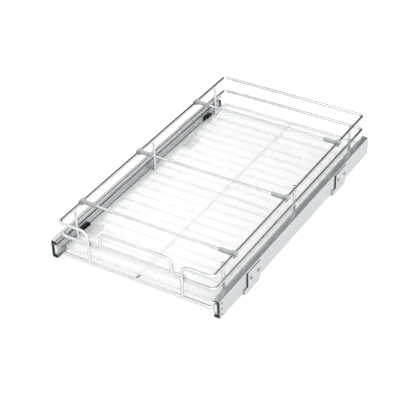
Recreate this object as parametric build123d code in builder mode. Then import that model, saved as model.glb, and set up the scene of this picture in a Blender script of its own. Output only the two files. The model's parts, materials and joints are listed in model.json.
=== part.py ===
from build123d import *
import os

# Pull out cabinet basket: a chrome wire basket on two side-mounted telescopic slides.
# Millimetres. +Z up, the basket pulls out towards -Y.
# The origin is under the middle of the whole part, at the height of the bracket feet.

# ---------------------------------------------------------------- driving dimensions

# Basket rings, measured between wire centres
ring_width = 287.0
ring_depth = 526.0
ring_corner_r = 7.0
rail_d = 5.0
mid_rail_rise = 32.0
top_rail_rise = 60.3
weld_sink = 0.1

# Front drops of the top rail and the handle between them
drop_spacing = 176.0
drop_bend_r = 14.0
stub_spacing = 143.0
handle_wire_d = 5.0
handle_width = 134.0
handle_height = 26.5
handle_crown = 2.5
handle_corner_r = 10.0
crown_bend_r = 1100.0

# Stirrup wires: places behind the front of the ring, the last one ahead of its rear
stirrup_d = 5.0
stirrup_bend_r = 5.0
front_stirrup_y = 38.0
middle_stirrup_y = 271.5
rear_stirrup_setback = 44.0
post_over_rail = 1.4
post_tip_round = 1.2

# Floor wires and liner
cross_wire_d = 3.0
cross_wire_overhang = 1.5
end_bay_count = 2
front_bay_count = 10
rear_bay_count = 9
centre_wire_d = 4.0
liner_thickness = 1.0
liner_side_inset = 0.2
liner_front_setback = 10.0
liner_rear_overlap = 2.0
liner_post_gap = 0.8
liner_corner_r = 6.0

# Slides
slide_shortfall = 2.0
slide_height = 35.0
slide_thickness = 12.7
slide_lead = 6.3
slide_rise = 6.3
slide_side_gap = 0.8
cabinet_sheet = 1.2
cabinet_lip = 3.5
cabinet_lip_setback = 0.4
middle_sheet = 1.1
drawer_sheet = 1.2
drawer_flange_depth = 7.1
middle_flange_setback = 1.7
web_gap = 1.8
channel_inner_bend_r = 1.8
rib_width = 5.4
rib_depth = 1.0

# Balls and cages
ball_d = 2.8
race_clearance = 0.1
ball_hole_clearance = 0.15
ball_pitch = 25.0
balls_per_row = 8
cage_end_length = 26.0
cage_sheet = 0.8
cage_start = 157.0
outer_ball_depth = 6.5
inner_ball_depth = 8.4
cage_overhang = 2.0
inner_cage_gap = 0.5

# Ends of the slides
bumper_length = 5.0
bumper_height = 14.0
bumper_gap = 1.5
middle_setback = 2.0
insert_length = 9.0
insert_gap = 0.25
slot_height = 4.4
slot_length = 2.4
slot_pitch = 11.0
slot_setback = 5.6

# Brackets: the front one behind the front end of the slide, the rear one ahead of its rear end
front_bracket_y = 83.0
rear_bracket_setback = 132.5
bracket_sheet = 2.0
bracket_length = 40.0
bracket_top_drop = 3.0
foot_drop = 6.0
foot_width = 27.0
foot_lead = 11.0
foot_tail_cut = 7.2
foot_cut_rise = 11.2
toe_rise = 11.2
toe_cut = 3.0
foot_hole_d = 4.5
foot_hole_inset = 6.5
foot_corner_r = 4.0
rivet_d = 4.0
rivet_head_d = 6.5
rivet_head_t = 1.0
rivet_bore_d = 2.6
rivet_bore_depth = 1.6
rivet_inset = 9.5
rivet_pitch = 23.0
rivet_clearance = 0.05

# Clips that hold the bottom rail on the drawer members: the front one behind the front end
# of the slide, the rear one ahead of its rear end. Heights are above the rail's centre.
front_clip_y = 74.3
rear_clip_setback = 55.7
clip_length = 20.0
clip_block_depth = 3.0
clip_block_bottom = 3.8
clip_block_top = 10.3
clip_strip_t = 0.75
clip_cradle_length = 11.0
clip_cradle_wall = 0.9
clip_tab_length = 4.0
clip_tab_reach = 2.8
clip_tab_bottom = 5.0
clip_tab_top = 9.0
clip_bore_clearance = 0.05
clip_screw_d = 3.0
clip_head_d = 5.0
clip_head_t = 1.6
clip_edge_r = 1.0

# Dividers: places behind the front of the ring
front_divider_y = 65.5
middle_divider_y = 235.0
rear_divider_y = 424.0
divider_rod_d = 4.0
divider_ring_d = 10.4
divider_ring_length = 9.0
divider_sleeve_d = 7.6
divider_reach = 27.0
divider_bore_clearance = 0.1
rod_clearance = 0.05
divider_wall = 1.6

# ---------------------------------------------------------------- derived places

rail_r = rail_d / 2
stirrup_r = stirrup_d / 2
cross_r = cross_wire_d / 2
centre_r = centre_wire_d / 2
handle_r = handle_wire_d / 2
half_width = ring_width / 2

# Whole depth runs from the front of the slides to the back of the rings
whole_depth = slide_lead + ring_depth + rail_r
slide_front_y = -whole_depth / 2
ring_front_y = slide_front_y + slide_lead
ring_rear_y = ring_front_y + ring_depth

# The slides are made to the depth of the basket
slide_length = ring_depth - slide_shortfall
slide_rear_y = slide_front_y + slide_length
rear_stirrup_y = ring_depth - rear_stirrup_setback
rear_bracket_y = slide_length - rear_bracket_setback

slide_mid_z = foot_drop + slide_height / 2
bottom_rail_z = slide_mid_z - slide_rise
mid_rail_z = bottom_rail_z + mid_rail_rise
top_rail_z = bottom_rail_z + top_rail_rise

# The mid rail lies behind the drops, the handle's base wire behind them and on the mid rail
mid_front_y = ring_front_y + rail_d - weld_sink
handle_y = ring_front_y + rail_r + handle_r - weld_sink
handle_base_z = mid_rail_z + rail_r + handle_r - weld_sink

post_x = half_width - rail_r - stirrup_r + weld_sink
stirrup_z = bottom_rail_z - rail_r - stirrup_r + weld_sink
cross_z = bottom_rail_z - rail_r - cross_r + weld_sink
centre_z = cross_z + cross_r + centre_r - weld_sink
liner_z = bottom_rail_z + rail_r

slide_inner_x = half_width + rail_r + slide_side_gap
slide_outer_x = slide_inner_x + slide_thickness
channel_bend_r = channel_inner_bend_r + cabinet_sheet
rib_half = rib_width / 2

race_gap = ball_d + 2 * race_clearance
cabinet_half = slide_height / 2
middle_half = cabinet_half - cabinet_sheet - race_gap
drawer_half = middle_half - middle_sheet - race_gap
middle_web_depth = cabinet_sheet + web_gap
middle_flange_depth = slide_thickness - middle_flange_setback
drawer_flange_start = slide_thickness - drawer_flange_depth
outer_row_rise = cabinet_half - cabinet_sheet - race_gap / 2
inner_row_rise = middle_half - middle_sheet - race_gap / 2
cage_length = (balls_per_row - 1) * ball_pitch + 2 * cage_end_length
outer_cage_depth = cabinet_sheet + (web_gap - cage_sheet) / 2
inner_cage_depth = middle_web_depth + middle_sheet + inner_cage_gap
cage_y = slide_front_y + cage_start

drawer_length = slide_length - bumper_length - bumper_gap
middle_length = drawer_length - middle_setback

bracket_outer_x = slide_outer_x + bracket_sheet
foot_hole_x = bracket_outer_x - foot_width + foot_hole_inset


# ---------------------------------------------------------------- helpers

def swept_wire(points, radii, wire_r):
    """A round wire along straight runs joined by tangent bends."""
    with BuildPart() as wire:
        with BuildLine() as path:
            FilletPolyline(*points, radius=radii)
        start = path.line @ 0
        heading = path.line % 0
        with BuildSketch(Plane(origin=start, z_dir=heading)):
            Circle(wire_r)
        sweep(path=path.line)
    return wire


def straight_wire(start, axis, length, wire_r):
    """A round wire along one straight run."""
    with BuildPart() as wire:
        with BuildSketch(Plane(origin=start, z_dir=axis)):
            Circle(wire_r)
        extrude(amount=length)
    return wire


def slide_plane(y):
    """The plane of the slide's section at one depth, looking along +Y."""
    return Plane(origin=(0, y, 0), x_dir=(1, 0, 0), z_dir=(0, -1, 0))


def section_box(depth_from, depth_to, rise_from, rise_to):
    """A box of the right slide's section, by depth from its outer face and height from its middle."""
    middle_depth = (depth_from + depth_to) / 2
    middle_rise = (rise_from + rise_to) / 2
    with Locations((slide_outer_x - middle_depth, slide_mid_z + middle_rise)):
        Rectangle(depth_to - depth_from, rise_to - rise_from)


def finish(part, label, colour):
    """Name, colour and write one finished piece."""
    part.label = label
    part.color = Color(*colour)
    export_step(part, "parts/" + label + ".step")


def finish_pair(right_part, name, colour):
    """Write the right-hand piece and its mirror image on the left."""
    with BuildPart() as left_piece:
        mirror(right_part, about=Plane.YZ)
    finish(right_part, "right_" + name, colour)
    finish(left_piece.part, "left_" + name, colour)


os.makedirs("parts", exist_ok=True)

chrome = (0.80, 0.82, 0.84)
zinc = (0.62, 0.65, 0.68)
black_plastic = (0.05, 0.05, 0.05)
grey_plastic = (0.55, 0.56, 0.57)
steel = (0.70, 0.70, 0.72)
black_steel = (0.08, 0.08, 0.08)
milky = (0.93, 0.94, 0.95)

# ---------------------------------------------------------------- basket rings

# Top rail: one wire that starts on the bottom rail, rises as the left drop,
# runs round the basket and comes down again as the right drop
drop_x = drop_spacing / 2
drop_foot_z = bottom_rail_z + rail_r - weld_sink
top_points = [
    (-drop_x, ring_front_y, drop_foot_z),
    (-drop_x, ring_front_y, top_rail_z),
    (-half_width, ring_front_y, top_rail_z),
    (-half_width, ring_rear_y, top_rail_z),
    (half_width, ring_rear_y, top_rail_z),
    (half_width, ring_front_y, top_rail_z),
    (drop_x, ring_front_y, top_rail_z),
    (drop_x, ring_front_y, drop_foot_z),
]
top_radii = [drop_bend_r] + [ring_corner_r] * 4 + [drop_bend_r]
top_rail = swept_wire(top_points, top_radii, rail_r)
finish(top_rail.part, "top_rail", chrome)

# Mid rail: open at the front, its free ends reach past the drops
stub_x = stub_spacing / 2
mid_points = [
    (-stub_x, mid_front_y, mid_rail_z),
    (-half_width, mid_front_y, mid_rail_z),
    (-half_width, ring_rear_y, mid_rail_z),
    (half_width, ring_rear_y, mid_rail_z),
    (half_width, mid_front_y, mid_rail_z),
    (stub_x, mid_front_y, mid_rail_z),
]
mid_rail = swept_wire(mid_points, ring_corner_r, rail_r)
finish(mid_rail.part, "mid_rail", chrome)

# Bottom rail: a closed ring
with BuildPart() as bottom_rail:
    with BuildLine() as ring_path:
        FilletPolyline(
            (-half_width, ring_front_y, bottom_rail_z),
            (-half_width, ring_rear_y, bottom_rail_z),
            (half_width, ring_rear_y, bottom_rail_z),
            (half_width, ring_front_y, bottom_rail_z),
            radius=ring_corner_r,
            close=True,
        )
    with BuildSketch(Plane(origin=ring_path.line @ 0, z_dir=ring_path.line % 0)):
        Circle(rail_r)
    sweep(path=ring_path.line)
finish(bottom_rail.part, "bottom_rail", chrome)

# ---------------------------------------------------------------- stirrup wires

# Each runs under the floor and up inside the rails on both sides
post_top_z = top_rail_z + post_over_rail
stirrup_names = ["front_stirrup", "middle_stirrup", "rear_stirrup"]
stirrup_places = [front_stirrup_y, middle_stirrup_y, rear_stirrup_y]
for name, place in zip(stirrup_names, stirrup_places):
    stirrup_y = ring_front_y + place
    stirrup_points = [
        (-post_x, stirrup_y, post_top_z),
        (-post_x, stirrup_y, stirrup_z),
        (post_x, stirrup_y, stirrup_z),
        (post_x, stirrup_y, post_top_z),
    ]
    stirrup = swept_wire(stirrup_points, stirrup_bend_r, stirrup_r)
    with BuildPart() as rounded_stirrup:
        add(stirrup.part)
        tips = rounded_stirrup.edges().group_by(Axis.Z)[-1]
        fillet(tips, post_tip_round)
    finish(rounded_stirrup.part, name, chrome)

# ---------------------------------------------------------------- floor

# Cross wires share out each bay between the rails and the stirrups evenly
bay_ends = [0.0, front_stirrup_y, middle_stirrup_y, rear_stirrup_y, ring_depth]
bay_counts = [end_bay_count, front_bay_count, rear_bay_count, end_bay_count]
cross_places = []
for bay, gap_count in enumerate(bay_counts):
    bay_start = bay_ends[bay]
    bay_pitch = (bay_ends[bay + 1] - bay_start) / gap_count
    for step in range(1, gap_count):
        cross_places.append(ring_front_y + bay_start + bay_pitch * step)
cross_half = half_width + cross_wire_overhang
with BuildPart() as floor_cross_wires:
    with BuildSketch(Plane(origin=(-cross_half, 0, cross_z), x_dir=(0, 1, 0), z_dir=(1, 0, 0))):
        with Locations([(place, 0) for place in cross_places]):
            Circle(cross_r)
    extrude(amount=2 * cross_half)
finish(floor_cross_wires.part, "floor_cross_wires", chrome)

# Centre wire: lies on the cross wires, its ends butt against the bottom rail
centre_start_y = ring_front_y + rail_r - weld_sink
centre_length = ring_depth - 2 * (rail_r - weld_sink)
centre_wire = straight_wire((0, centre_start_y, centre_z), (0, 1, 0), centre_length, centre_r)
finish(centre_wire.part, "centre_floor_wire", chrome)

# Liner: a plain sheet that rests on the side rails and the rear rail, notched round the posts
liner_half = half_width + rail_r - liner_side_inset
liner_front_y = ring_front_y + liner_front_setback
liner_rear_y = ring_rear_y + liner_rear_overlap
notch_inner_x = post_x - stirrup_r - liner_post_gap
notch_width = stirrup_d + 2 * liner_post_gap
post_places = [ring_front_y + place for place in stirrup_places]
with BuildPart() as floor_liner:
    with BuildSketch(Plane.XY.offset(liner_z)):
        with Locations((0, (liner_front_y + liner_rear_y) / 2)):
            RectangleRounded(2 * liner_half, liner_rear_y - liner_front_y, liner_corner_r)
        for side in (-1, 1):
            notch_mid_x = side * (notch_inner_x + liner_half) / 2
            with Locations([(notch_mid_x, place) for place in post_places]):
                Rectangle(liner_half - notch_inner_x, notch_width, mode=Mode.SUBTRACT)
    extrude(amount=liner_thickness)
finish(floor_liner.part, "floor_liner", milky)

# ---------------------------------------------------------------- handle

base_half = drop_x + rail_r
handle_base = straight_wire((-base_half, handle_y, handle_base_z), (1, 0, 0), 2 * base_half, handle_r)
finish(handle_base.part, "handle_base", chrome)

arch_x = handle_width / 2
arch_foot_z = handle_base_z + handle_r - weld_sink
arch_top_z = handle_base_z + handle_height
arch_points = [
    (-arch_x, handle_y, arch_foot_z),
    (-arch_x, handle_y, arch_top_z - handle_crown),
    (0, handle_y, arch_top_z),
    (arch_x, handle_y, arch_top_z - handle_crown),
    (arch_x, handle_y, arch_foot_z),
]
arch_radii = [handle_corner_r, crown_bend_r, handle_corner_r]
handle_arch = swept_wire(arch_points, arch_radii, handle_r)
finish(handle_arch.part, "handle_arch", chrome)

# ---------------------------------------------------------------- cabinet members

cabinet_depth = slide_thickness - cabinet_lip_setback
rivet_places = []
for bracket_y in (front_bracket_y, rear_bracket_y):
    rivet_places.append(slide_front_y + bracket_y + rivet_inset)
    rivet_places.append(slide_front_y + bracket_y + rivet_inset + rivet_pitch)
outer_face = Plane(origin=(slide_outer_x, 0, slide_mid_z), x_dir=(0, 1, 0), z_dir=(1, 0, 0))
with BuildPart() as cabinet_member:
    with BuildSketch(slide_plane(slide_front_y)) as cabinet_section:
        section_box(0, cabinet_sheet, -cabinet_half, cabinet_half)
        section_box(0, cabinet_depth, cabinet_half - cabinet_sheet, cabinet_half)
        section_box(0, cabinet_depth, -cabinet_half, cabinet_sheet - cabinet_half)
        section_box(cabinet_depth - cabinet_sheet, cabinet_depth, cabinet_half - cabinet_lip, cabinet_half)
        section_box(cabinet_depth - cabinet_sheet, cabinet_depth, -cabinet_half, cabinet_lip - cabinet_half)
        outer_corners = cabinet_section.vertices().group_by(Axis.X)[-1]
        fillet(outer_corners, channel_bend_r)
        inner_corners = cabinet_section.vertices().group_by(Axis.X)[-2]
        fillet(inner_corners, channel_inner_bend_r)
    extrude(amount=-slide_length)
    with BuildSketch(outer_face):
        with Locations([(place, 0) for place in rivet_places]):
            Circle(rivet_d / 2 + rivet_clearance)
    extrude(amount=-cabinet_sheet, mode=Mode.SUBTRACT)
    with BuildSketch(outer_face):
        with Locations((slide_front_y + slot_setback, 0)):
            with GridLocations(0, slot_pitch, 1, 3):
                Rectangle(slot_length, slot_height)
    extrude(amount=-cabinet_sheet, mode=Mode.SUBTRACT)
finish_pair(cabinet_member.part, "cabinet_member", zinc)

# Front insert: fills the dead space of the channel round the intermediate member
with BuildPart() as front_insert:
    with BuildSketch(slide_plane(slide_front_y)) as insert_section:
        corner_rise = cabinet_half - cabinet_sheet
        lip_depth = cabinet_depth - cabinet_sheet
        section_box(cabinet_sheet, middle_web_depth - insert_gap, -corner_rise, corner_rise)
        section_box(cabinet_sheet, lip_depth, middle_half + insert_gap, corner_rise)
        section_box(cabinet_sheet, lip_depth, -corner_rise, -middle_half - insert_gap)
        fillet(insert_section.vertices().group_by(Axis.X)[-1], channel_inner_bend_r + insert_gap)
    extrude(amount=-insert_length)
finish_pair(front_insert.part, "front_insert", black_plastic)

# Rear bumper: a block on the web of the channel behind the moving members
with BuildPart() as rear_bumper:
    with BuildSketch(slide_plane(slide_rear_y - bumper_length)):
        section_box(cabinet_sheet, cabinet_depth, -bumper_height / 2, bumper_height / 2)
    extrude(amount=-bumper_length)
finish_pair(rear_bumper.part, "rear_bumper", black_plastic)

# ---------------------------------------------------------------- brackets

plate_top_z = slide_mid_z + cabinet_half - bracket_top_drop
for bracket_name, bracket_place in (("front", front_bracket_y), ("rear", rear_bracket_y)):
    plate_y = slide_front_y + bracket_place
    plate_end_y = plate_y + bracket_length
    toe_y = plate_y - foot_lead
    heel_y = plate_end_y - foot_tail_cut
    with BuildPart() as bracket:
        with BuildSketch(Plane(origin=(slide_outer_x, 0, 0), x_dir=(0, 1, 0), z_dir=(1, 0, 0))):
            with BuildLine():
                Polyline(
                    (toe_y + toe_cut, 0),
                    (heel_y, 0),
                    (plate_end_y, foot_cut_rise),
                    (plate_end_y, plate_top_z),
                    (plate_y, plate_top_z),
                    (plate_y, toe_rise),
                    (toe_y, toe_rise),
                    (toe_y, toe_cut),
                    close=True,
                )
            make_face()
            with Locations((plate_y + rivet_inset, slide_mid_z), (plate_y + rivet_inset + rivet_pitch, slide_mid_z)):
                Circle(rivet_d / 2 + rivet_clearance, mode=Mode.SUBTRACT)
        extrude(amount=bracket_sheet)
        foot_length = heel_y - toe_y - toe_cut
        foot_mid_y = (heel_y + toe_y + toe_cut) / 2
        foot_mid_x = bracket_outer_x - foot_width / 2
        with BuildSketch(Plane.XY) as foot:
            with Locations((foot_mid_x, foot_mid_y)):
                Rectangle(foot_width, foot_length)
            inner_corners = foot.vertices().group_by(Axis.X)[0]
            fillet(inner_corners, foot_corner_r)
            with Locations((foot_hole_x, foot_mid_y)):
                Circle(foot_hole_d / 2, mode=Mode.SUBTRACT)
        extrude(amount=bracket_sheet)
    finish_pair(bracket.part, bracket_name + "_bracket", zinc)

    # Rivets: a low hollow head on the plate, the shank ends flush inside the channel
    rivet_plane = Plane(origin=(bracket_outer_x, plate_y + rivet_inset, slide_mid_z), x_dir=(0, 1, 0), z_dir=(1, 0, 0))
    with BuildPart() as rivets:
        with BuildSketch(rivet_plane):
            with Locations((0, 0), (rivet_pitch, 0)):
                Circle(rivet_head_d / 2)
        extrude(amount=rivet_head_t)
        fillet(rivets.edges().group_by(Axis.X)[-1], rivet_head_t / 2)
        with BuildSketch(rivet_plane):
            with Locations((0, 0), (rivet_pitch, 0)):
                Circle(rivet_d / 2)
        extrude(amount=-bracket_sheet - cabinet_sheet)
        with BuildSketch(rivet_plane.offset(rivet_head_t)):
            with Locations((0, 0), (rivet_pitch, 0)):
                Circle(rivet_bore_d / 2)
        extrude(amount=-rivet_bore_depth, mode=Mode.SUBTRACT)
    finish_pair(rivets.part, bracket_name + "_rivets", steel)

# ---------------------------------------------------------------- intermediate members

middle_start_y = slide_front_y + middle_setback
with BuildPart() as intermediate:
    with BuildSketch(slide_plane(middle_start_y)) as middle_section:
        section_box(middle_web_depth, middle_web_depth + middle_sheet, -middle_half, middle_half)
        section_box(middle_web_depth, middle_flange_depth, middle_half - middle_sheet, middle_half)
        section_box(middle_web_depth, middle_flange_depth, -middle_half, middle_sheet - middle_half)
        fillet(middle_section.vertices().group_by(Axis.X)[-1], middle_sheet)
    extrude(amount=-middle_length)
finish_pair(intermediate.part, "intermediate_member", zinc)

# ---------------------------------------------------------------- drawer members

# Each has a flat rib pressed along the middle of its web, towards the basket
clip_places = [slide_front_y + front_clip_y, slide_rear_y - rear_clip_setback]
rib_wall_half = rib_half - drawer_sheet
drawer_web_depth = slide_thickness - rib_depth
drawer_web_start = drawer_web_depth - drawer_sheet
with BuildPart() as drawer_member:
    with BuildSketch(slide_plane(slide_front_y)) as drawer_section:
        section_box(slide_thickness - drawer_sheet, slide_thickness, -rib_half, rib_half)
        section_box(drawer_web_start, slide_thickness, rib_wall_half, rib_half)
        section_box(drawer_web_start, slide_thickness, -rib_half, -rib_wall_half)
        section_box(drawer_web_start, drawer_web_depth, rib_wall_half, drawer_half)
        section_box(drawer_web_start, drawer_web_depth, -drawer_half, -rib_wall_half)
        section_box(drawer_flange_start, drawer_web_depth, drawer_half - drawer_sheet, drawer_half)
        section_box(drawer_flange_start, drawer_web_depth, -drawer_half, drawer_sheet - drawer_half)
        edge_corners = drawer_section.vertices().group_by(Axis.X)[1]
        fillet([edge_corners.sort_by(Axis.Y)[0], edge_corners.sort_by(Axis.Y)[-1]], drawer_sheet)
    extrude(amount=-drawer_length)
    with BuildSketch(Plane(origin=(slide_inner_x, 0, slide_mid_z), x_dir=(0, 1, 0), z_dir=(1, 0, 0))):
        with Locations([(place, 0) for place in clip_places]):
            Circle(clip_screw_d / 2 + rivet_clearance)
    extrude(amount=drawer_sheet, mode=Mode.SUBTRACT)
finish_pair(drawer_member.part, "drawer_member", zinc)

# ---------------------------------------------------------------- ball cages and balls


def ball_cage(web_depth, ball_depth, row_rise):
    """A bent strip with a row of ball holes above and below, joined by a web behind the member."""
    edge_depth = ball_depth + ball_d / 2 + cage_overhang
    with BuildPart() as cage:
        with BuildSketch(slide_plane(cage_y)):
            half_strip = cage_sheet / 2
            section_box(web_depth, web_depth + cage_sheet, -row_rise - half_strip, row_rise + half_strip)
            section_box(web_depth, edge_depth, row_rise - half_strip, row_rise + half_strip)
            section_box(web_depth, edge_depth, -row_rise - half_strip, half_strip - row_rise)
        extrude(amount=-cage_length)
        with BuildSketch(Plane.XY.offset(slide_mid_z)):
            with Locations((slide_outer_x - ball_depth, cage_y + cage_length / 2)):
                with GridLocations(0, ball_pitch, 1, balls_per_row):
                    Circle(ball_d / 2 + ball_hole_clearance)
        extrude(amount=slide_height, both=True, mode=Mode.SUBTRACT)
    return cage


def ball_rows(ball_depth, row_rise):
    """The balls of one cage, a row above and a row below."""
    with BuildPart() as balls:
        for row_z in (slide_mid_z - row_rise, slide_mid_z + row_rise):
            with Locations((slide_outer_x - ball_depth, cage_y + cage_length / 2, row_z)):
                with GridLocations(0, ball_pitch, 1, balls_per_row):
                    Sphere(ball_d / 2)
    return balls


outer_cage = ball_cage(outer_cage_depth, outer_ball_depth, outer_row_rise)
finish_pair(outer_cage.part, "outer_cage", zinc)
outer_balls = ball_rows(outer_ball_depth, outer_row_rise)
finish_pair(outer_balls.part, "outer_balls", steel)
inner_cage = ball_cage(inner_cage_depth, inner_ball_depth, inner_row_rise)
finish_pair(inner_cage.part, "inner_cage", zinc)
inner_balls = ball_rows(inner_ball_depth, inner_row_rise)
finish_pair(inner_balls.part, "inner_balls", steel)

# ---------------------------------------------------------------- rail clips and their screws

# A block screwed to the rib of the drawer member over the rail, with a strip down beside the
# rail, a cradle under the rail at the rear end and a tab at the top
clip_bore_r = rail_r + clip_bore_clearance
clip_block_x = slide_inner_x - clip_block_depth
cradle_inner_x = half_width - clip_bore_r - clip_cradle_wall
cradle_drop = clip_bore_r + clip_cradle_wall
strip_top_z = bottom_rail_z + clip_block_bottom
clip_names = ["front", "rear"]
for clip_name, clip_y in zip(clip_names, clip_places):
    clip_front_y = clip_y - clip_length / 2
    clip_rear_y = clip_y + clip_length / 2
    block_middle = ((slide_inner_x + clip_block_x) / 2, bottom_rail_z + (clip_block_bottom + clip_block_top) / 2)
    strip_middle = (slide_inner_x - clip_strip_t / 2, (strip_top_z + bottom_rail_z - cradle_drop) / 2)
    tab_middle = (clip_block_x - clip_tab_reach / 2, bottom_rail_z + (clip_tab_bottom + clip_tab_top) / 2)
    with BuildPart() as rail_clip:
        with BuildSketch(slide_plane(clip_front_y)) as block_section:
            with Locations(block_middle):
                Rectangle(clip_block_depth, clip_block_top - clip_block_bottom)
            fillet(block_section.vertices().group_by(Axis.X)[0], clip_edge_r)
            with Locations(strip_middle):
                Rectangle(clip_strip_t, clip_block_bottom + cradle_drop)
        extrude(amount=-clip_length)
        with BuildSketch(slide_plane(clip_rear_y - clip_cradle_length)):
            with Locations(((slide_inner_x + cradle_inner_x) / 2, bottom_rail_z - cradle_drop / 2)):
                Rectangle(slide_inner_x - cradle_inner_x, cradle_drop)
            with Locations((half_width, bottom_rail_z)):
                Circle(clip_bore_r, mode=Mode.SUBTRACT)
        extrude(amount=-clip_cradle_length)
        with BuildSketch(slide_plane(clip_rear_y - clip_tab_length)):
            with Locations(tab_middle):
                Rectangle(clip_tab_reach, clip_tab_top - clip_tab_bottom)
        extrude(amount=-clip_tab_length)
        with BuildSketch(Plane(origin=(clip_block_x, clip_y, slide_mid_z), x_dir=(0, 1, 0), z_dir=(1, 0, 0))):
            Circle(clip_screw_d / 2 + rivet_clearance)
        extrude(amount=clip_block_depth, mode=Mode.SUBTRACT)
    finish_pair(rail_clip.part, clip_name + "_rail_clip", black_plastic)

    head_plane = Plane(origin=(clip_block_x, clip_y, slide_mid_z), x_dir=(0, 1, 0), z_dir=(1, 0, 0))
    with BuildPart() as clip_screw:
        with BuildSketch(head_plane):
            Circle(clip_head_d / 2)
        extrude(amount=-clip_head_t)
        fillet(clip_screw.edges().group_by(Axis.X)[0], clip_head_t / 2)
        with BuildSketch(head_plane):
            Circle(clip_screw_d / 2)
        extrude(amount=clip_block_depth + drawer_sheet)
    finish_pair(clip_screw.part, clip_name + "_clip_screw", black_steel)

# ---------------------------------------------------------------- dividers

rod_half = half_width - rail_r - divider_wall
divider_names = ["front_divider", "middle_divider", "rear_divider"]
divider_places = [front_divider_y, middle_divider_y, rear_divider_y]
for divider_name, place in zip(divider_names, divider_places):
    divider_y = ring_front_y + place
    rod = straight_wire((-rod_half, divider_y, top_rail_z), (1, 0, 0), 2 * rod_half, divider_rod_d / 2)
    finish(rod.part, divider_name + "_rod", chrome)

    # Clip: a ring round the top rail with a sleeve that holds the end of the rod
    with BuildPart() as divider_clip:
        with BuildSketch(slide_plane(divider_y - divider_ring_length / 2)):
            with Locations((half_width, top_rail_z)):
                Circle(divider_ring_d / 2)
        extrude(amount=-divider_ring_length)
        with BuildSketch(Plane(origin=(half_width, divider_y, top_rail_z), z_dir=(-1, 0, 0))):
            Circle(divider_sleeve_d / 2)
        extrude(amount=divider_reach)
        fillet(divider_clip.edges().group_by(Axis.X)[0], divider_wall / 2)
        with BuildSketch(slide_plane(divider_y - divider_ring_length / 2)):
            with Locations((half_width, top_rail_z)):
                Circle(rail_r + divider_bore_clearance)
        extrude(amount=-divider_ring_length, mode=Mode.SUBTRACT)
        with BuildSketch(Plane(origin=(rod_half + rod_clearance, divider_y, top_rail_z), z_dir=(-1, 0, 0))):
            Circle(divider_rod_d / 2 + rod_clearance)
        extrude(amount=divider_reach, mode=Mode.SUBTRACT)
    finish_pair(divider_clip.part, divider_name + "_clip", grey_plastic)

# ---------------------------------------------------------------- printed sizes

print("slide front", slide_front_y, "ring front", ring_front_y, "ring rear", ring_rear_y)
print("bottom, mid, top rail z", bottom_rail_z, mid_rail_z, top_rail_z)
print("slide inner x", slide_inner_x, "slide outer x", slide_outer_x, "bracket outer x", bracket_outer_x)
print("foot hole x", foot_hole_x, "intermediate half", middle_half, "drawer half", drawer_half)
print("liner top z", liner_z + liner_thickness, "handle top z", arch_top_z + handle_r)
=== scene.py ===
import json
import math

import bpy
from mathutils import Matrix, Vector


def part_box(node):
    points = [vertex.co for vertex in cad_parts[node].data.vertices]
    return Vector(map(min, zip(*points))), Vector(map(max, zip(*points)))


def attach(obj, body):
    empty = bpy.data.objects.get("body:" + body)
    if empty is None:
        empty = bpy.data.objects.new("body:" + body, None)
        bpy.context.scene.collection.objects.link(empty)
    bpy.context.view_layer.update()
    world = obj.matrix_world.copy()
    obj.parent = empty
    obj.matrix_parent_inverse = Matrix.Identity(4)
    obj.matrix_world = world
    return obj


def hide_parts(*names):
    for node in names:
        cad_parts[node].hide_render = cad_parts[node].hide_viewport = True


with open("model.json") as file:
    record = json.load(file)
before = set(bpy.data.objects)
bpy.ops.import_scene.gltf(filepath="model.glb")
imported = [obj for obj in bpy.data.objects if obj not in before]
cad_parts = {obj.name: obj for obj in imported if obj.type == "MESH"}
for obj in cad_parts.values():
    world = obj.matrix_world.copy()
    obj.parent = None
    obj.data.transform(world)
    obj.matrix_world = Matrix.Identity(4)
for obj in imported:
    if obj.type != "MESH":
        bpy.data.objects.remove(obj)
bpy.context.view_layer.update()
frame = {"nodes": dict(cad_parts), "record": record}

# Pull out cabinet basket: chrome plated wire on zinc plated ball-bearing slides.
# Metres, in the frame of the CAD model: +Z up, the basket pulls out towards -Y.

nodes = frame["nodes"]
sides = ("left", "right")
ends = ("front", "rear")
dividers = ("front", "middle", "rear")

# which way each side lies along X
side_sign = {"left": -1.0, "right": 1.0}

white = (1.0, 1.0, 1.0, 1.0)


# ---------------------------------------------------------------- camera

def aim_camera():
    """The photograph's viewpoint, fitted to the three wire rings."""
    azimuth = math.radians(32.399)
    elevation = math.radians(35.526)
    roll = math.radians(-1.952)
    target = Vector((-0.0218, -0.0285, 0.0181))
    distance = 2.1602
    sensor_width = 36.0
    focal_length = 113.41
    back = Vector((
        math.sin(azimuth) * math.cos(elevation),
        -math.cos(azimuth) * math.cos(elevation),
        math.sin(elevation),
    ))
    level_right = Vector((math.cos(azimuth), math.sin(azimuth), 0.0))
    level_up = back.cross(level_right)
    right = level_right * math.cos(roll) + level_up * math.sin(roll)
    up = level_up * math.cos(roll) - level_right * math.sin(roll)
    data = bpy.data.cameras.new("camera")
    data.sensor_width = sensor_width
    data.lens = focal_length
    camera = bpy.data.objects.new("camera", data)
    bpy.context.scene.collection.objects.link(camera)
    place = Matrix((right, up, back)).transposed().to_4x4()
    place.translation = target + back * distance
    camera.matrix_world = place
    bpy.context.scene.camera = camera


# ---------------------------------------------------------------- node helpers

def srgb(code):
    """An sRGB hex code as a linear colour."""
    parts = [int(code[i:i + 2], 16) / 255 for i in (1, 3, 5)]
    linear = [p / 12.92 if p <= 0.04045 else ((p + 0.055) / 1.055) ** 2.4 for p in parts]
    return (*linear, 1.0)


def add_node(tree, kind, values=None, links=None, **settings):
    """One node with its settings, its socket values and the sockets that feed it."""
    node = tree.nodes.new(kind)
    for name, value in settings.items():
        setattr(node, name, value)
    for name, value in (values or {}).items():
        node.inputs[name].default_value = value
    for name, source in (links or {}).items():
        tree.links.new(source, node.inputs[name])
    return node


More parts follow.
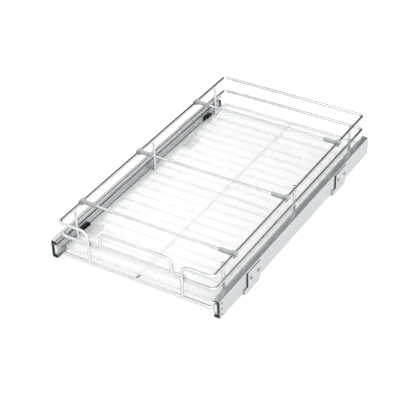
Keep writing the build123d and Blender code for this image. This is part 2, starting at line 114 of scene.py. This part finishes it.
def arithmetic(tree, operation, *terms):
    """One step of arithmetic on sockets and plain numbers."""
    node = add_node(tree, "ShaderNodeMath", operation=operation)
    for place, term in enumerate(terms):
        if isinstance(term, float):
            node.inputs[place].default_value = term
        else:
            tree.links.new(term, node.inputs[place])
    return node.outputs["Value"]


def noise(tree, place, scale, detail):
    """A cloudy pattern whose patches are about one part in scale of a metre across."""
    node = add_node(tree, "ShaderNodeTexNoise", {"Scale": scale, "Detail": detail}, {"Vector": place})
    return node.outputs["Fac"]


def spread(tree, pattern, low, high):
    """A pattern as a number between two others."""
    node = add_node(tree, "ShaderNodeMapRange", {"To Min": low, "To Max": high}, {"Value": pattern})
    return node.outputs["Result"]


def two_tone(tree, pattern, start, dark, end, light):
    """A pattern as a colour that runs from a darker to a lighter one between two of its values."""
    node = add_node(tree, "ShaderNodeValToRGB", links={"Fac": pattern})
    first, last = node.color_ramp.elements
    first.position = start
    first.color = srgb(dark)
    last.position = end
    last.color = srgb(light)
    return node.outputs["Color"]


def relief(tree, pattern, strength, depth):
    """A pattern as a fine relief of the surface."""
    node = add_node(tree, "ShaderNodeBump", {"Strength": strength, "Distance": depth}, {"Height": pattern})
    return node.outputs["Normal"]


def new_material(name):
    """An empty node material, its tree and its output."""
    material = bpy.data.materials.new(name)
    material.use_nodes = True
    tree = material.node_tree
    tree.nodes.clear()
    output = tree.nodes.new("ShaderNodeOutputMaterial")
    return material, tree, output


def object_place(tree):
    """The place on the object, in metres, that a pattern is laid out in."""
    return add_node(tree, "ShaderNodeTexCoord").outputs["Object"]


def give_surface(tree, output, values, links):
    """The shader of a material, with its plain values and its patterns."""
    shader = add_node(tree, "ShaderNodeBsdfPrincipled", values, links)
    tree.links.new(shader.outputs["BSDF"], output.inputs["Surface"])


# ---------------------------------------------------------------- materials

def bright_chrome():
    """Bright chrome plate on drawn wire: a sharp mirror that shows dark and light lines, hardly uneven."""
    material, tree, output = new_material("bright_chrome_plate")
    # plating unevenness about 8 mm across
    cloud = noise(tree, object_place(tree), 120.0, 3.0)
    values = {"Metallic": 1.0, "Specular Tint": (0.10, 0.10, 0.11, 1.0)}
    give_surface(tree, output, values, {
        "Base Color": two_tone(tree, cloud, 0.35, "#DEE0E2", 0.65, "#E8E9EA"),
        "Roughness": spread(tree, cloud, 0.03, 0.07),
    })
    return material


def zinc_plate():
    """Bright zinc plate on cold-rolled strip: satin grey, with faint streaks along the rolling direction."""
    material, tree, output = new_material("zinc_plated_strip")
    place = object_place(tree)
    # streaks about a millimetre wide and some 60 mm long, along the slide
    stretch = add_node(tree, "ShaderNodeMapping", {"Scale": (900.0, 16.0, 900.0)}, {"Vector": place})
    streak = noise(tree, stretch.outputs["Vector"], 1.0, 4.0)
    # the plate's own clouds, about 25 mm across
    cloud = noise(tree, place, 40.0, 3.0)
    blend = arithmetic(tree, "MULTIPLY_ADD", cloud, 0.4, arithmetic(tree, "MULTIPLY", streak, 0.6))
    give_surface(tree, output, {"Metallic": 0.78}, {
        "Base Color": two_tone(tree, blend, 0.3, "#BABDBF", 0.7, "#C6C9CA"),
        "Roughness": spread(tree, blend, 0.20, 0.28),
        "Normal": relief(tree, streak, 0.04, 0.0001),
    })
    return material


def polished_steel():
    """Hardened and polished steel of the balls and the rivet heads: small bright points, a little soft."""
    material, tree, output = new_material("polished_steel")
    # polishing marks between one and two millimetres across
    cloud = noise(tree, object_place(tree), 600.0, 2.0)
    values = {"Base Color": srgb("#B9BBBE"), "Metallic": 1.0}
    give_surface(tree, output, values, {"Roughness": spread(tree, cloud, 0.10, 0.2)})
    return material


def black_oxide_and_painted_shade():
    """Blackened steel of the clip screws, and the near-black painted shade in the rivet hollows and along the
    front edge of each bracket: near black, with a low oily sheen.
    """
    material, tree, output = new_material("black_oxide_steel")
    # patches of the oxide layer, under a millimetre across
    cloud = noise(tree, object_place(tree), 1500.0, 2.0)
    values = {"Base Color": srgb("#060606"), "Specular IOR Level": 0.2}
    give_surface(tree, output, values, {"Roughness": spread(tree, cloud, 0.45, 0.6)})
    return material


def moulded_plastic(name, dark, light, roughness, gloss):
    """Moulded nylon: matt with a fine eroded grain, a little lighter where the grain stands up."""
    material, tree, output = new_material(name)
    # grain about a quarter of a millimetre across
    grain = noise(tree, object_place(tree), 4000.0, 2.0)
    values = {"Roughness": roughness, "IOR": 1.5, "Specular IOR Level": gloss}
    give_surface(tree, output, values, {
        "Base Color": two_tone(tree, grain, 0.3, dark, 0.7, light),
        "Normal": relief(tree, grain, 0.25, 0.00005),
    })
    return material


def frosted_sheet():
    """Extruded polypropylene sheet: glossy on top and milky inside, so the wires show through it softly."""
    material, tree, output = new_material("milky_polypropylene_sheet")
    # the sheet's slight waviness, about 55 mm across
    wave = noise(tree, object_place(tree), 18.0, 2.0)
    values = {"Base Color": srgb("#FBFCFC"), "Roughness": 0.15, "IOR": 1.49, "Transmission Weight": 0.65}
    give_surface(tree, output, values, {"Normal": relief(tree, wave, 0.05, 0.0002)})
    return material


# ---------------------------------------------------------------- floor, lights and world

def lay_floor():
    """A plain white floor. It keeps the soft shadow, and shows white to the camera and in the metal."""
    glow_share = 0.7
    glow_level = 1.06
    material, tree, output = new_material("white_floor")
    path = add_node(tree, "ShaderNodeLightPath")
    seen = arithmetic(tree, "MAXIMUM", path.outputs["Is Camera Ray"], path.outputs["Is Glossy Ray"])
    seen = arithmetic(tree, "MAXIMUM", seen, path.outputs["Is Transmission Ray"])
    share = arithmetic(tree, "MULTIPLY", seen, glow_share)
    matt = add_node(tree, "ShaderNodeBsdfDiffuse", {"Color": srgb("#F6F6F6")})
    glow = add_node(tree, "ShaderNodeEmission", {"Color": white, "Strength": glow_level})
    mix = add_node(tree, "ShaderNodeMixShader", links={
        0: share, 1: matt.outputs["BSDF"], 2: glow.outputs["Emission"],
    })
    tree.links.new(mix.outputs["Shader"], output.inputs["Surface"])
    bpy.ops.mesh.primitive_plane_add(size=30.0, location=(0.0, 0.0, 0.0))
    floor = bpy.context.object
    floor.name = "floor"
    floor.data.materials.append(material)


def hang_lamps():
    """Two large soft boxes, overhead and to the right, both facing the middle of the floor."""
    for name, place, size, power in (
        ("overhead_box", (0.3, -0.5, 2.2), 2.4, 34.0),
        ("side_box", (2.2, 0.2, 1.4), 1.6, 18.0),
    ):
        data = bpy.data.lights.new(name, "AREA")
        data.shape = "SQUARE"
        data.size = size
        data.energy = power
        lamp = bpy.data.objects.new(name, data)
        lamp.location = place
        lamp.rotation_mode = "QUATERNION"
        lamp.rotation_quaternion = Vector(place).to_track_quat("Z", "Y")
        bpy.context.scene.collection.objects.link(lamp)


def room_zone(tree, axes, edges):
    """A part of the room with soft edges, each between two values of one axis of the direction."""
    inside = None
    for axis, start, end in edges:
        edge = add_node(
            tree, "ShaderNodeMapRange", {"From Min": start, "From Max": end}, {"Value": axes.outputs[axis]},
            interpolation_type="SMOOTHSTEP",
        ).outputs["Result"]
        inside = edge if inside is None else arithmetic(tree, "MULTIPLY", inside, edge)
    return inside


def light_room():
    """A white room. The metal also sees a dark wall at its far end, with a lit panel and a window in it."""
    wall_colour = (0.03, 0.03, 0.03, 1.0)
    extra_light = 0.62
    world = bpy.data.worlds.new("studio")
    world.use_nodes = True
    tree = world.node_tree
    tree.nodes.clear()
    output = tree.nodes.new("ShaderNodeOutputWorld")
    heading = add_node(tree, "ShaderNodeTexCoord").outputs["Generated"]
    axes = add_node(tree, "ShaderNodeSeparateXYZ", links={"Vector": heading})

    # the wall is towards +Y, the panel high on its left and the window at its right end
    wall = room_zone(tree, axes, (("Y", 0.20, 0.36), ("Z", 0.92, 0.80), ("X", 0.70, 0.50)))
    panel = room_zone(tree, axes, (("X", -0.41, -0.45), ("Z", 0.36, 0.46)))
    window = room_zone(tree, axes, (("Y", 0.30, 0.50), ("Z", 0.60, 0.40), ("X", 0.48, 0.66)))
    dark = arithmetic(tree, "MULTIPLY", wall, arithmetic(tree, "SUBTRACT", 1.0, panel))
    bright = arithmetic(tree, "MAXIMUM", arithmetic(tree, "MULTIPLY", wall, panel), window)
    level = arithmetic(tree, "MULTIPLY_ADD", bright, extra_light, 1.0)
    room = add_node(tree, "ShaderNodeMix", links={"Factor": dark}, data_type="RGBA")
    room.inputs["A"].default_value = white
    room.inputs["B"].default_value = wall_colour
    reflected = add_node(
        tree, "ShaderNodeBackground", links={"Color": room.outputs["Result"], "Strength": level},
    )

    # the light that falls in from all sides is even, and so is what the camera sees
    even = add_node(tree, "ShaderNodeBackground", {"Color": white})
    path = add_node(tree, "ShaderNodeLightPath")
    lit = add_node(tree, "ShaderNodeMixShader", links={
        0: path.outputs["Is Glossy Ray"], 1: even.outputs["Background"], 2: reflected.outputs["Background"],
    })
    seen = arithmetic(tree, "MAXIMUM", path.outputs["Is Camera Ray"], path.outputs["Is Transmission Ray"])
    shown = add_node(tree, "ShaderNodeMixShader", links={
        0: seen, 1: lit.outputs["Shader"], 2: even.outputs["Background"],
    })
    tree.links.new(shown.outputs["Shader"], output.inputs["Surface"])
    bpy.context.scene.world = world


# ---------------------------------------------------------------- modelling helpers

def select_only(piece):
    """Leave edit mode and select this piece alone, or nothing. An operator acts on all that is selected."""
    if bpy.context.mode != "OBJECT":
        bpy.ops.object.mode_set(mode="OBJECT")
    bpy.ops.object.select_all(action="DESELECT")
    if piece is not None:
        piece.select_set(True)
        bpy.context.view_layer.objects.active = piece


def pick(piece, kind, wanted):
    """In edit mode, select the vertices, edges or faces whose middle and run or normal are wanted."""
    bpy.ops.object.mode_set(mode="EDIT")
    bpy.ops.mesh.select_mode(type=kind)
    bpy.ops.mesh.select_all(action="DESELECT")
    bpy.ops.object.mode_set(mode="OBJECT")
    mesh = piece.data
    members = {"VERT": mesh.vertices, "EDGE": mesh.edges, "FACE": mesh.polygons}[kind]
    for member in members:
        corners = [member.index] if kind == "VERT" else member.vertices
        middle = sum((mesh.vertices[i].co for i in corners), Vector()) / len(corners)
        if kind == "EDGE":
            run = mesh.vertices[corners[1]].co - mesh.vertices[corners[0]].co
        elif kind == "FACE":
            run = member.normal
        else:
            run = None
        member.select = wanted(piece.matrix_world @ middle, run)
    bpy.ops.object.mode_set(mode="EDIT")


def straighten(piece):
    """Put a piece's place, turn and scale into its mesh."""
    select_only(piece)
    bpy.ops.object.transform_apply(location=True, rotation=True, scale=True)


def apply_modifier(piece, modifier):
    """Work a modifier into the mesh."""
    select_only(piece)
    bpy.ops.object.modifier_apply(modifier=modifier.name)


def break_edges(piece, width, angle=30.0):
    """Round the sharp edges, as tumbling, moulding or rolling leaves them."""
    bevel = piece.modifiers.new("broken_edges", "BEVEL")
    bevel.width = width
    bevel.segments = 2
    bevel.limit_method = "ANGLE"
    bevel.angle_limit = math.radians(angle)
    apply_modifier(piece, bevel)


def sunk_face(thickness, step, step_depth):
    """Inset the selected face, and sink or raise its middle over a narrow step."""
    bpy.ops.mesh.inset(thickness=thickness, depth=0.0)
    bpy.ops.mesh.inset(thickness=step, depth=step_depth)
    bpy.ops.object.mode_set(mode="OBJECT")


def new_block(place, size):
    """A block with its size in its mesh."""
    select_only(None)
    bpy.ops.mesh.primitive_cube_add(size=1.0, location=place, scale=size)
    block = bpy.context.object
    straighten(block)
    return block


def settle(piece, name, body, slot_name, smooth=40.0):
    """Name a finished piece, put its place into its mesh, and give it its finish and its body."""
    piece.name = name
    straighten(piece)
    bpy.ops.object.shade_smooth_by_angle(angle=math.radians(smooth))
    even = piece.modifiers.new("even_shading", "WEIGHTED_NORMAL")
    even.keep_sharp = True
    apply_modifier(piece, even)
    piece.data.materials.clear()
    piece.data.materials.append(finishes[slot_name])
    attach(piece, body)


def merged_copy(node_name):
    """A CAD piece as a closed mesh of whole faces, ready to be worked on."""
    piece = bpy.data.objects.new(node_name + "_copy", nodes[node_name].data.copy())
    bpy.context.scene.collection.objects.link(piece)
    select_only(piece)
    if piece.data.has_custom_normals:
        bpy.ops.mesh.customdata_custom_splitnormals_clear()
    bpy.ops.object.mode_set(mode="EDIT")
    bpy.ops.mesh.select_all(action="SELECT")
    bpy.ops.mesh.remove_doubles(threshold=0.000002)
    bpy.ops.mesh.dissolve_limited(angle_limit=math.radians(1.0))
    bpy.ops.object.mode_set(mode="OBJECT")
    return piece


def joined(pieces):
    """Several meshes as one piece."""
    select_only(pieces[0])
    for piece in pieces:
        piece.select_set(True)
    bpy.ops.object.join()
    return bpy.context.object


# ---------------------------------------------------------------- slides

# Sizes of the slide section. A point of a section is a depth from the outer face and a rise above
# the middle of the slide, both in millimetres.
slide_middle = 0.0235
outer_face = 0.1595
sheet = 0.00116

# how close a middle has to be to the place that it is picked for
near = 0.0001


def section_x(side, depth):
    """The place along X of a depth from the slide's outer face."""
    return side_sign[side] * (outer_face - depth / 1000)


def rolled_strip(side, half, bends, front, rear):
    """Sheet rolled to a section, from the upper half of its middle line and the radii of its bends."""
    path = half + [(depth, -rise) for depth, rise in reversed(half)]
    line = [(section_x(side, depth), slide_middle + rise / 1000) for depth, rise in path]
    select_only(None)
    bpy.ops.mesh.primitive_plane_add(size=0.001, location=(line[0][0], front, line[0][1]))
    strip = bpy.context.object
    bpy.ops.object.mode_set(mode="EDIT")
    bpy.ops.mesh.select_mode(type="VERT")
    bpy.ops.mesh.select_all(action="SELECT")
    bpy.ops.mesh.merge(type="CENTER")
    for (x_from, z_from), (x_to, z_to) in zip(line, line[1:]):
        step = (x_to - x_from, 0.0, z_to - z_from)
        bpy.ops.mesh.extrude_region_move(TRANSFORM_OT_translate={"value": step})
    bpy.ops.mesh.select_all(action="SELECT")
    bpy.ops.mesh.extrude_region_move(TRANSFORM_OT_translate={"value": (0.0, rear - front, 0.0)})
    for depth, rise, radius in bends:
        x = section_x(side, depth)
        corners = [Vector((x, 0.0, slide_middle + level / 1000)) for level in (rise, -rise)]

        def at_corner(middle, run):
            flat = Vector((middle.x, 0.0, middle.z))
            return abs(run.y) > 0.1 and min((flat - corner).length for corner in corners) < near

        pick(strip, "EDGE", at_corner)
        bpy.ops.mesh.bevel(offset=radius / 1000, segments=5, affect="EDGES")
    bpy.ops.object.mode_set(mode="OBJECT")
    return strip


def thicken(strip):
    """Give a rolled strip its sheet thickness and broken edges."""
    wall = strip.modifiers.new("sheet", "SOLIDIFY")
    wall.thickness = sheet
    wall.offset = 0.0
    wall.use_even_offset = True
    apply_modifier(strip, wall)
    bpy.ops.object.mode_set(mode="EDIT")
    bpy.ops.mesh.select_all(action="SELECT")
    bpy.ops.mesh.normals_make_consistent(inside=False)
    bpy.ops.object.mode_set(mode="OBJECT")
    break_edges(strip, 0.0002, angle=50.0)


def cut_guide_slots(strip, side, front):
    """Three small slots through the web, one above the other, near the front end."""
    slot_middle = front + 0.0056
    half_length = 0.0012
    half_height = 0.0022
    levels = (-0.011, 0.0, 0.011)
    middle_band = 0.0004
    x_web = side_sign[side] * (outer_face - sheet / 2)

    def on_web(middle, run):
        return abs(middle.x - x_web) < near

    def in_band(middle, run):
        return on_web(middle, run) and abs(middle.y - slot_middle) < middle_band

    def in_slot(middle, run):
        off_level = min(abs(middle.z - slide_middle - level) for level in levels)
        return in_band(middle, run) and off_level < middle_band

    for cut in (slot_middle - half_length, slot_middle + half_length):
        pick(strip, "FACE", on_web)
        bpy.ops.mesh.bisect(plane_co=(0.0, cut, 0.0), plane_no=(0.0, 1.0, 0.0))
    for level in levels:
        for edge in (-half_height, half_height):
            pick(strip, "FACE", in_band)
            bpy.ops.mesh.bisect(plane_co=(0.0, 0.0, slide_middle + level + edge), plane_no=(0.0, 0.0, 1.0))
    pick(strip, "FACE", in_slot)
    bpy.ops.mesh.delete(type="FACE")
    # one more cut behind the slots, so that the long face behind it stays plain
    pick(strip, "FACE", on_web)
    bpy.ops.mesh.bisect(plane_co=(0.0, slot_middle + 0.003, 0.0), plane_no=(0.0, 1.0, 0.0))


def dress_cabinet_member(side):
    """The fixed member: a flange crowned over the balls that turns in to a lip."""
    low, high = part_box(side + "_cabinet_member")
    half = [
        (11.72, 14.05), (11.72, 16.48), (9.8, 16.74), (8.0, 16.88), (6.0, 16.92), (4.2, 16.86), (0.58, 16.66),
    ]
    bends = ((0.58, 16.66, 2.2), (11.72, 16.48, 0.6))
    strip = rolled_strip(side, half, bends, low[1], high[1])
    cut_guide_slots(strip, side, low[1])
    thicken(strip)
    settle(strip, side + "_cabinet_channel", "cabinet_side", "zinc_steel")
    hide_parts(side + "_cabinet_member")


def dress_intermediate_member(side):
    """The middle member: a flange with a race rolled into it for the balls on both of its sides."""
    low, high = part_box(side + "_intermediate_member")
    half = [
        (10.95, 12.45), (9.7, 12.78), (8.4, 12.92), (7.4, 12.70), (6.4, 12.50), (5.4, 12.62), (3.58, 12.72),
    ]
    bends = ((3.58, 12.72, 1.2),)
    strip = rolled_strip(side, half, bends, low[1], high[1])
    thicken(strip)
    settle(strip, side + "_intermediate_rail", side + "_intermediate", "zinc_steel")
    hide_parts(side + "_intermediate_member")


def dress_drawer_member(side):
    """The member on the basket: a race in each flange and a rib pressed along the web."""
    low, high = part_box(side + "_drawer_member")
    half = [
        (5.65, 8.62), (7.0, 8.58), (8.4, 8.36), (9.6, 8.58), (11.12, 8.62), (11.12, 3.1), (12.12, 2.1),
    ]
    bends = ((11.12, 8.62, 1.0), (11.12, 3.1, 0.25), (12.12, 2.1, 0.25))
    strip = rolled_strip(side, half, bends, low[1], high[1])
    thicken(strip)
    settle(strip, side + "_drawer_rail", "basket", "zinc_steel")
    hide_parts(side + "_drawer_member")

    # the tab folded across the front end of the drawer rail, with a pressed dimple
    tab_size = (0.0054, 0.001, 0.0156)
    tab = new_block((section_x(side, 8.7), low[1] + 0.0012, slide_middle), tab_size)
    pick(tab, "FACE", lambda middle, run: run.y < -0.9)
    sunk_face(0.0014, 0.0003, -0.0005)
    break_edges(tab, 0.00025)
    settle(tab, side + "_front_tab", "basket", "chrome_wire")


# ---------------------------------------------------------------- brackets and rivets

# The outer face of the bracket plates, their sheet, the height of their toe and of their top, how far
# they start behind the front end of their foot, and the rivets through them
plate_face = 0.1615
plate_sheet = 0.002
plate_toe_top = 0.0112
plate_top = 0.038
plate_lead = 0.011
rivet_radius = 0.00325
rivet_head = 0.001


def dress_plate(side, end):
    """A bracket with broken edges and a rounded fold, and a near-black strip on its front edge that paints
    the shadow line along it.
    """
    fold_radius = 0.0022
    name = side + "_" + end + "_bracket"
    bracket = merged_copy(name)
    pick(bracket, "EDGE", lambda middle, run: (
        abs(run.y) > 0.02 and middle.z < near and abs(middle.x) > plate_face - near
    ))
    bpy.ops.mesh.bevel(offset=fold_radius, segments=5, affect="EDGES")
    bpy.ops.object.mode_set(mode="OBJECT")
    break_edges(bracket, 0.00035)
    settle(bracket, name + "_plate", "cabinet_side", "zinc_steel")
    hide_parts(name)

    # the painted shadow strip lies on the front edge, above the toe
    skin = 0.00016
    low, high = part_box(name)
    x = side_sign[side] * (plate_face - plate_sheet / 2)
    place = (x, low[1] + plate_lead - skin / 2, (plate_toe_top + plate_top) / 2)
    edge = new_block(place, (0.0018, skin, plate_top - plate_toe_top))
    pick(edge, "FACE", lambda middle, run: run.y < -0.9)
    bpy.ops.mesh.inset(thickness=0.0002, depth=0.00002)
    bpy.ops.object.mode_set(mode="OBJECT")
    # near-black skin over the front edge: a painted shadow line
    settle(edge, name + "_painted_shadow_edge", "cabinet_side", "black_oxide_steel")


def turned_stub(side, middle_depth, y, radius, length, corners):
    """A short round stub across the slide at mid height, with its outer face selected."""
    sign = side_sign[side]
    select_only(None)
    bpy.ops.mesh.primitive_cylinder_add(
        vertices=corners, radius=radius, depth=length, location=(sign * middle_depth, y, slide_middle),
        rotation=(0.0, math.radians(90.0), 0.0),
    )
    stub = bpy.context.object
    straighten(stub)
    pick(stub, "FACE", lambda middle, run: run.x * sign > 0.9)
    return stub


def dress_rivets(side, end):
    """A pair of hollow rivets, each with a pin a little below the rim of its head, near black to paint the
    shade in the rivet's hollow.
    """
    rim_width = 0.00095
    pin_radius = 0.0021
    pin_length = 0.0006
    pin_rise = 0.00035
    name = side + "_" + end
    low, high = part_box(name + "_rivets")
    heads = []
    pins = []
    for y in (low[1] + rivet_radius, high[1] - rivet_radius):
        head = turned_stub(side, plate_face + rivet_head / 2, y, rivet_radius, rivet_head, 32)
        sunk_face(rim_width, 0.0002, -0.0008)
        break_edges(head, 0.00025)
        heads.append(head)
        pins.append(turned_stub(side, plate_face + pin_rise, y, pin_radius, pin_length, 24))
        bpy.ops.mesh.inset(thickness=0.0004, depth=-0.0002)
        bpy.ops.mesh.inset(thickness=0.0003, depth=0.0002)
        bpy.ops.object.mode_set(mode="OBJECT")
    heads = joined(heads)
    settle(heads, name + "_rivet_heads", "cabinet_side", "bearing_steel")
    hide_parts(name + "_rivets")
    # the pins are near black: painted shade in the hollows of the rivets
    settle(joined(pins), name + "_rivet_pins_painted_shade", "cabinet_side", "black_oxide_steel")


# ---------------------------------------------------------------- plastic pieces

def dress_moulding(name, width, body, slot_name):
    """A moulded plastic piece with its edges rounded, as they leave the mould."""
    clip = merged_copy(name)
    break_edges(clip, width)
    settle(clip, name + "_moulding", body, slot_name)
    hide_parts(name)


def dress_plastic(side):
    """The rail clips, the pieces in the ends of the slide and the divider clips of one side."""
    for end in ends:
        dress_moulding(side + "_" + end + "_rail_clip", 0.0003, "basket", "black_plastic")
    for part in ("front_insert", "rear_bumper"):
        dress_moulding(side + "_" + part, 0.0003, "cabinet_side", "black_plastic")
    for divider in dividers:
        dress_moulding(side + "_" + divider + "_divider_clip", 0.0004, divider + "_divider", "grey_plastic")


# ---------------------------------------------------------------- weld beads

def upset_bead():
    """A round bead of a millimetre radius, pushed a little out of round."""
    select_only(None)
    bpy.ops.mesh.primitive_ico_sphere_add(subdivisions=2, radius=0.001, location=(0.0, 0.0, 0.0))
    bead = bpy.context.object
    pick(bead, "VERT", lambda middle, run: middle.x > 0.0004 and middle.y > 0.0002)
    bpy.ops.transform.resize(value=(1.12, 1.08, 1.0))
    pick(bead, "VERT", lambda middle, run: middle.x < -0.0003 and middle.y < 0.0005)
    bpy.ops.transform.resize(value=(1.05, 1.14, 1.1))
    bpy.ops.object.mode_set(mode="OBJECT")
    rounding = bead.modifiers.new("rounding", "SUBSURF")
    rounding.levels = 1
    rounding.render_levels = 1
    apply_modifier(bead, rounding)
    return bead


def weld_spots():
    """The middle of each weld, with the half sizes of its bead in millimetres."""
    wire_r = 0.0025
    # places along X of the drops, of the laps of mid rail and handle wire, and of the feet of the arch
    drop_x = 0.088
    lap_x = 0.079
    arch_foot_x = 0.067
    low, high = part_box("bottom_rail")
    front = low[1] + wire_r
    bottom = high[2] - wire_r
    post_x = high[0] - 2 * wire_r
    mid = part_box("mid_rail")[1][2] - wire_r
    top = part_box("top_rail")[1][2] - wire_r
    spots = []

    # the posts against the three rings, and the stirrups under the floor
    for name in ("front_stirrup", "middle_stirrup", "rear_stirrup"):
        low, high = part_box(name)
        y = (low[1] + high[1]) / 2
        for x in (-post_x, post_x):
            for z in (bottom, mid, top):
                spots.append(((x, y, z), (0.7, 2.3, 2.1)))
        spots.append(((0.0, y, bottom - wire_r), (1.9, 1.7, 0.6)))

    # the front drops, and the handle with the wire it stands on
    low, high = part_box("handle_base")
    base_y = (low[1] + high[1]) / 2
    base_z = (low[2] + high[2]) / 2
    for x in (-drop_x, drop_x):
        spots.append(((x, front + wire_r, base_z), (2.1, 0.7, 2.2)))
        spots.append(((x, front + wire_r, mid), (2.2, 0.7, 2.0)))
        spots.append(((x, front, bottom + wire_r), (2.9, 2.9, 0.8)))
    for x in (-lap_x, lap_x):
        spots.append(((x, base_y, (mid + base_z) / 2), (3.4, 1.9, 0.6)))
    for x in (-arch_foot_x, arch_foot_x):
        spots.append(((x, base_y, base_z + wire_r), (2.9, 2.8, 0.8)))
    return spots


def lay_weld_beads():
    """The small upset bead where two welded wires meet, flattened between them."""
    bead = upset_bead()
    beads = []
    for place, shape in weld_spots():
        select_only(bead)
        bpy.ops.object.duplicate(linked=False)
        copy = bpy.context.object
        copy.location = place
        copy.scale = shape
        straighten(copy)
        beads.append(copy)
    bpy.data.objects.remove(bead)
    settle(joined(beads), "weld_beads", "basket", "chrome_wire", smooth=60.0)


# ---------------------------------------------------------------- the scene

bpy.context.scene.view_settings.view_transform = "Standard"
aim_camera()
lay_floor()
hang_lamps()
light_room()

finishes = {
    "chrome_wire": bright_chrome(),
    "zinc_steel": zinc_plate(),
    "black_plastic": moulded_plastic("black_nylon", "#080808", "#121213", 0.60, 0.25),
    "grey_plastic": moulded_plastic("grey_nylon", "#8B8D8F", "#A0A2A3", 0.40, 0.5),
    "bearing_steel": polished_steel(),
    # black oxide of the clip screws, also used as painted shade on the rivet pins and the bracket edges
    "black_oxide_steel": black_oxide_and_painted_shade(),
    "milky_plastic": frosted_sheet(),
}
for row in frame["record"]["subparts"]:
    node = nodes[row["node"]]
    node.material_slots[0].material = finishes[row["material_slot"]]

for side in sides:
    dress_cabinet_member(side)
    dress_intermediate_member(side)
    dress_drawer_member(side)
for side in sides:
    for end in ends:
        dress_plate(side, end)
        dress_rivets(side, end)
for side in sides:
    dress_plastic(side)
lay_weld_beads()
